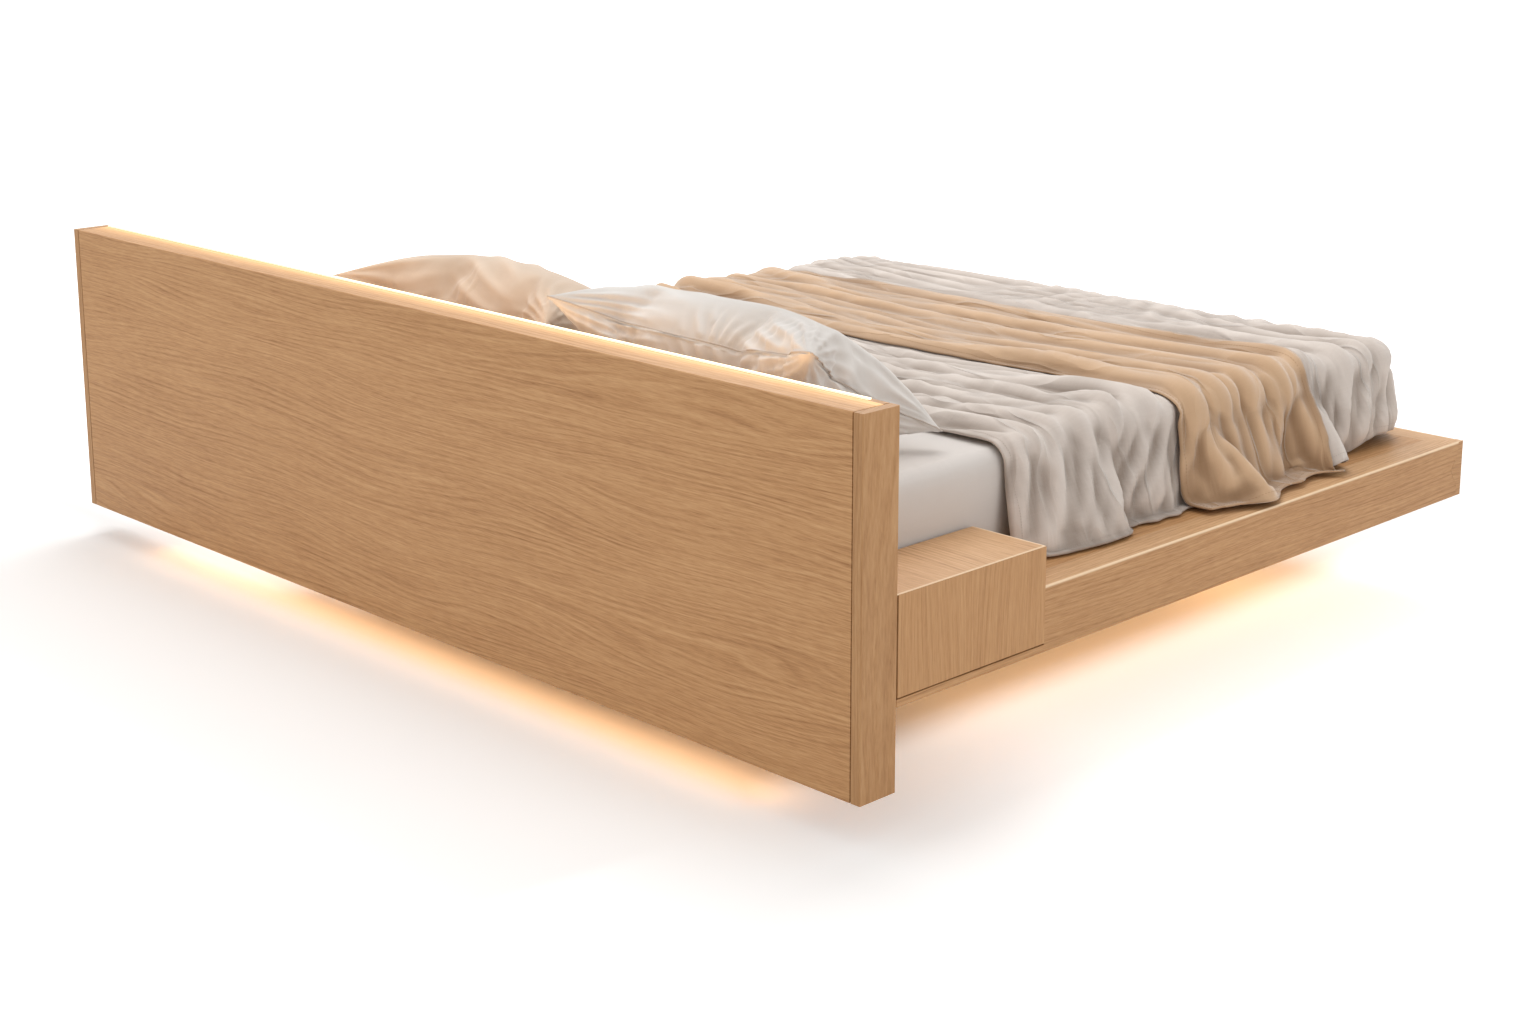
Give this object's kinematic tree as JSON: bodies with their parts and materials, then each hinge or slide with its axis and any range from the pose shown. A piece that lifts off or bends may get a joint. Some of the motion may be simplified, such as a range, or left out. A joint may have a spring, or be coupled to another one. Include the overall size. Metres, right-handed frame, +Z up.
{
  "type": "floating platform bed",
  "caption": "Wide platform bed on a hidden plinth with a lit headboard, built-in bedside drawers, mattress, pillows, duvet and throw.",
  "frame": {"origin": "on the floor under the middle of the bed's outline", "axes": "+X along the headboard to its flush end, +Y from the headboard to the foot, +Z up"},
  "size_m": [3.04, 2.315, 0.9436],
  "materials": {
    "oak_panel": "satin",
    "oak_cap": "satin",
    "oak_post": "satin",
    "oak_rail": "satin",
    "oak_border": "satin",
    "oak_drawer": "satin",
    "oak_deck": "satin",
    "oak_case": "satin",
    "pine": "matte",
    "plinth_black": "matte",
    "drawer_ply": "satin",
    "steel": "satin",
    "light_channel": "satin",
    "opal": "satin",
    "dark_plastic": "matte",
    "plunger_plastic": "matte",
    "sheet_linen": "matte",
    "pillow_cotton": "matte",
    "duvet_linen": "matte",
    "throw_linen": "matte"
  },
  "bodies": {
    "bed": {"headboard_rear_panel": "oak_panel", "headboard_front_panel": "oak_panel", "headboard_top_cap": "oak_cap", "headboard_bottom_cap": "oak_cap", "headboard_post_left": "oak_post", "headboard_post_right": "oak_post", "side_rail_left": "oak_rail", "side_rail_right": "oak_rail", "foot_rail": "oak_rail", "corner_keys": "oak_rail", "cabinet_left_base": "oak_rail", "cabinet_right_base": "oak_rail", "border_board_left": "oak_border", "border_board_right": "oak_border", "border_board_foot": "oak_border", "cabinet_left_top": "oak_border", "cabinet_right_top": "oak_border", "deck_panel_left": "oak_deck", "deck_panel_right": "oak_deck", "deck_panel_foot": "oak_deck", "cabinet_left_inner_wall": "oak_case", "cabinet_left_head_wall": "oak_case", "cabinet_left_foot_wall": "oak_case", "cabinet_right_inner_wall": "oak_case", "cabinet_right_head_wall": "oak_case", "cabinet_right_foot_wall": "oak_case", "headboard_ribs": "pine", "slats": "pine", "battens": "pine", "cross_beams": "pine", "head_rail": "pine", "corner_blocks": "pine", "plinth_blocks": "pine", "plinth_sides": "plinth_black", "plinth_ends": "plinth_black", "headboard_bolts": "steel", "fixed_runners": "steel", "top_light_channel": "light_channel", "under_light_channels": "light_channel", "top_light_diffuser": "opal", "under_light_diffusers": "opal", "levelling_feet": "dark_plastic", "light_driver": "dark_plastic", "power_inlet": "dark_plastic", "latch_housings": "dark_plastic", "mattress": "sheet_linen", "pillow_left": "pillow_cotton", "pillow_right": "pillow_cotton", "duvet": "duvet_linen", "throw": "throw_linen"},
    "drawer_left": {"drawer_left_front": "oak_drawer", "drawer_left_walls": "drawer_ply", "drawer_left_bottom": "drawer_ply", "drawer_left_runners": "steel"},
    "drawer_right": {"drawer_right_front": "oak_drawer", "drawer_right_walls": "drawer_ply", "drawer_right_bottom": "drawer_ply", "drawer_right_runners": "steel"},
    "plunger_left": {"latch_plunger_left": "plunger_plastic"},
    "plunger_right": {"latch_plunger_right": "plunger_plastic"}
  },
  "joints": [
    {"name": "drawer_left_slide", "type": "slide", "parent": "bed", "child": "drawer_left", "axis": [-1, 0, 0], "range_m": [0, 0.11]},
    {"name": "drawer_right_slide", "type": "slide", "parent": "bed", "child": "drawer_right", "axis": [1, 0, 0], "range_m": [0, 0.11]},
    {"name": "plunger_left_press", "type": "slide", "parent": "bed", "child": "plunger_left", "axis": [1, 0, 0], "range_m": [0, 0.003], "stiffness_N_per_m": 200},
    {"name": "plunger_right_press", "type": "slide", "parent": "bed", "child": "plunger_right", "axis": [-1, 0, 0], "range_m": [0, 0.003], "stiffness_N_per_m": 200}
  ]
}
